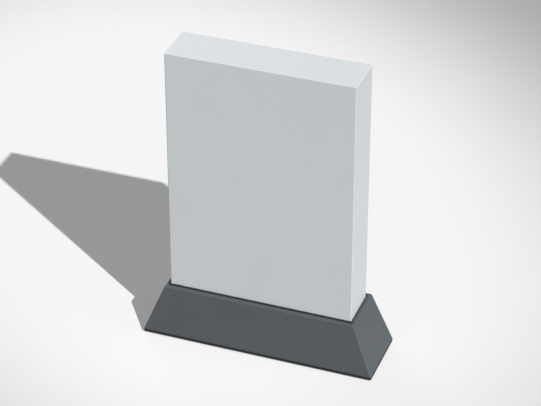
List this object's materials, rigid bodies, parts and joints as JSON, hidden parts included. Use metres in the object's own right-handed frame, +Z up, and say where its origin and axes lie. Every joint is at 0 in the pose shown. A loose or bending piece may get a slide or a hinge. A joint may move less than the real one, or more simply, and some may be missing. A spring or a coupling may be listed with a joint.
{
  "type": "cassette display stand",
  "caption": "Slotted flared desk stand that holds a closed cassette case upright; the case lifts straight out and keeps a cassette on its hub pegs.",
  "frame": {"origin": "on the table, under the middle of the base", "axes": "+Z up along the standing case, -Y towards the case's front face, +X towards the case's spine"},
  "size_m": [0.089, 0.0264, 0.1175],
  "materials": {
    "base_plastic": "satin moulded, fine even grain",
    "plate_plastic": "satin moulded",
    "steel": "zinc plated",
    "rubber": "matt",
    "felt": "short pressed felt",
    "case_plastic": "satin opaque polystyrene",
    "card": "uncoated, unprinted",
    "shell_plastic": "fine spark texture",
    "window_plastic": "clear",
    "film": "graphited film",
    "hub_plastic": "acetal",
    "tape": "ferric tape",
    "bronze": "phosphor bronze strip",
    "pad_felt": "wool felt"
  },
  "bodies": {
    "base": {"base_shell": "base_plastic", "base_plate": "plate_plastic", "ballast_bar": "steel", "base_screw_1": "steel", "base_screw_2": "steel", "base_screw_3": "steel", "base_screw_4": "steel", "foot_1": "rubber", "foot_2": "rubber", "foot_3": "rubber", "foot_4": "rubber", "slot_lining_front": "felt", "slot_lining_back": "felt", "slot_lining_left": "felt", "slot_lining_right": "felt", "slot_lining_floor": "felt"},
    "case": {"case_lid": "case_plastic", "case_tray": "case_plastic", "insert_card": "card", "cassette_shell_front": "shell_plastic", "cassette_shell_back": "shell_plastic", "window_front": "window_plastic", "window_back": "window_plastic", "cassette_screw_1": "steel", "cassette_screw_2": "steel", "cassette_screw_3": "steel", "cassette_screw_4": "steel", "cassette_screw_5": "steel", "slip_sheet_front": "film", "slip_sheet_back": "film", "upper_roller_pin": "steel", "lower_roller_pin": "steel", "tape_span": "tape", "pad_spring": "bronze", "pressure_pad": "pad_felt", "shield_plate": "steel"},
    "upper_reel": {"upper_hub": "hub_plastic", "upper_hub_clip": "hub_plastic", "upper_tape_pack": "tape"},
    "upper_guide_roller": {"upper_roller": "hub_plastic"},
    "lower_reel": {"lower_hub": "hub_plastic", "lower_hub_clip": "hub_plastic", "lower_tape_pack": "tape"},
    "lower_guide_roller": {"lower_roller": "hub_plastic"}
  },
  "joints": [
    {"name": "case_lift", "type": "slide", "parent": "base", "child": "case", "axis": [0, 0, 1], "range_m": [0, 0.03]},
    {"name": "upper_reel_play", "type": "hinge", "parent": "case", "child": "upper_reel", "pos_m": [-0.002, 0, 0.08425], "axis": [0, 1, 0], "range_deg": [-8, 8]},
    {"name": "lower_reel_play", "type": "hinge", "parent": "case", "child": "lower_reel", "pos_m": [-0.002, 0, 0.04175], "axis": [0, 1, 0], "range_deg": [-8, 8]},
    {"name": "upper_roller_turn", "type": "hinge", "parent": "case", "child": "upper_guide_roller", "pos_m": [0.026, 0, 0.1035], "axis": [0, 1, 0], "range_deg": [-47, 47]},
    {"name": "lower_roller_turn", "type": "hinge", "parent": "case", "child": "lower_guide_roller", "pos_m": [0.026, 0, 0.0225], "axis": [0, 1, 0], "range_deg": [-47, 47]}
  ],
  "couplings": [
    {"joint": "lower_reel_play", "follows": "upper_reel_play", "ratio": 1},
    {"joint": "upper_roller_turn", "follows": "upper_reel_play", "ratio": 5.6673},
    {"joint": "lower_roller_turn", "follows": "upper_reel_play", "ratio": 5.6673}
  ]
}
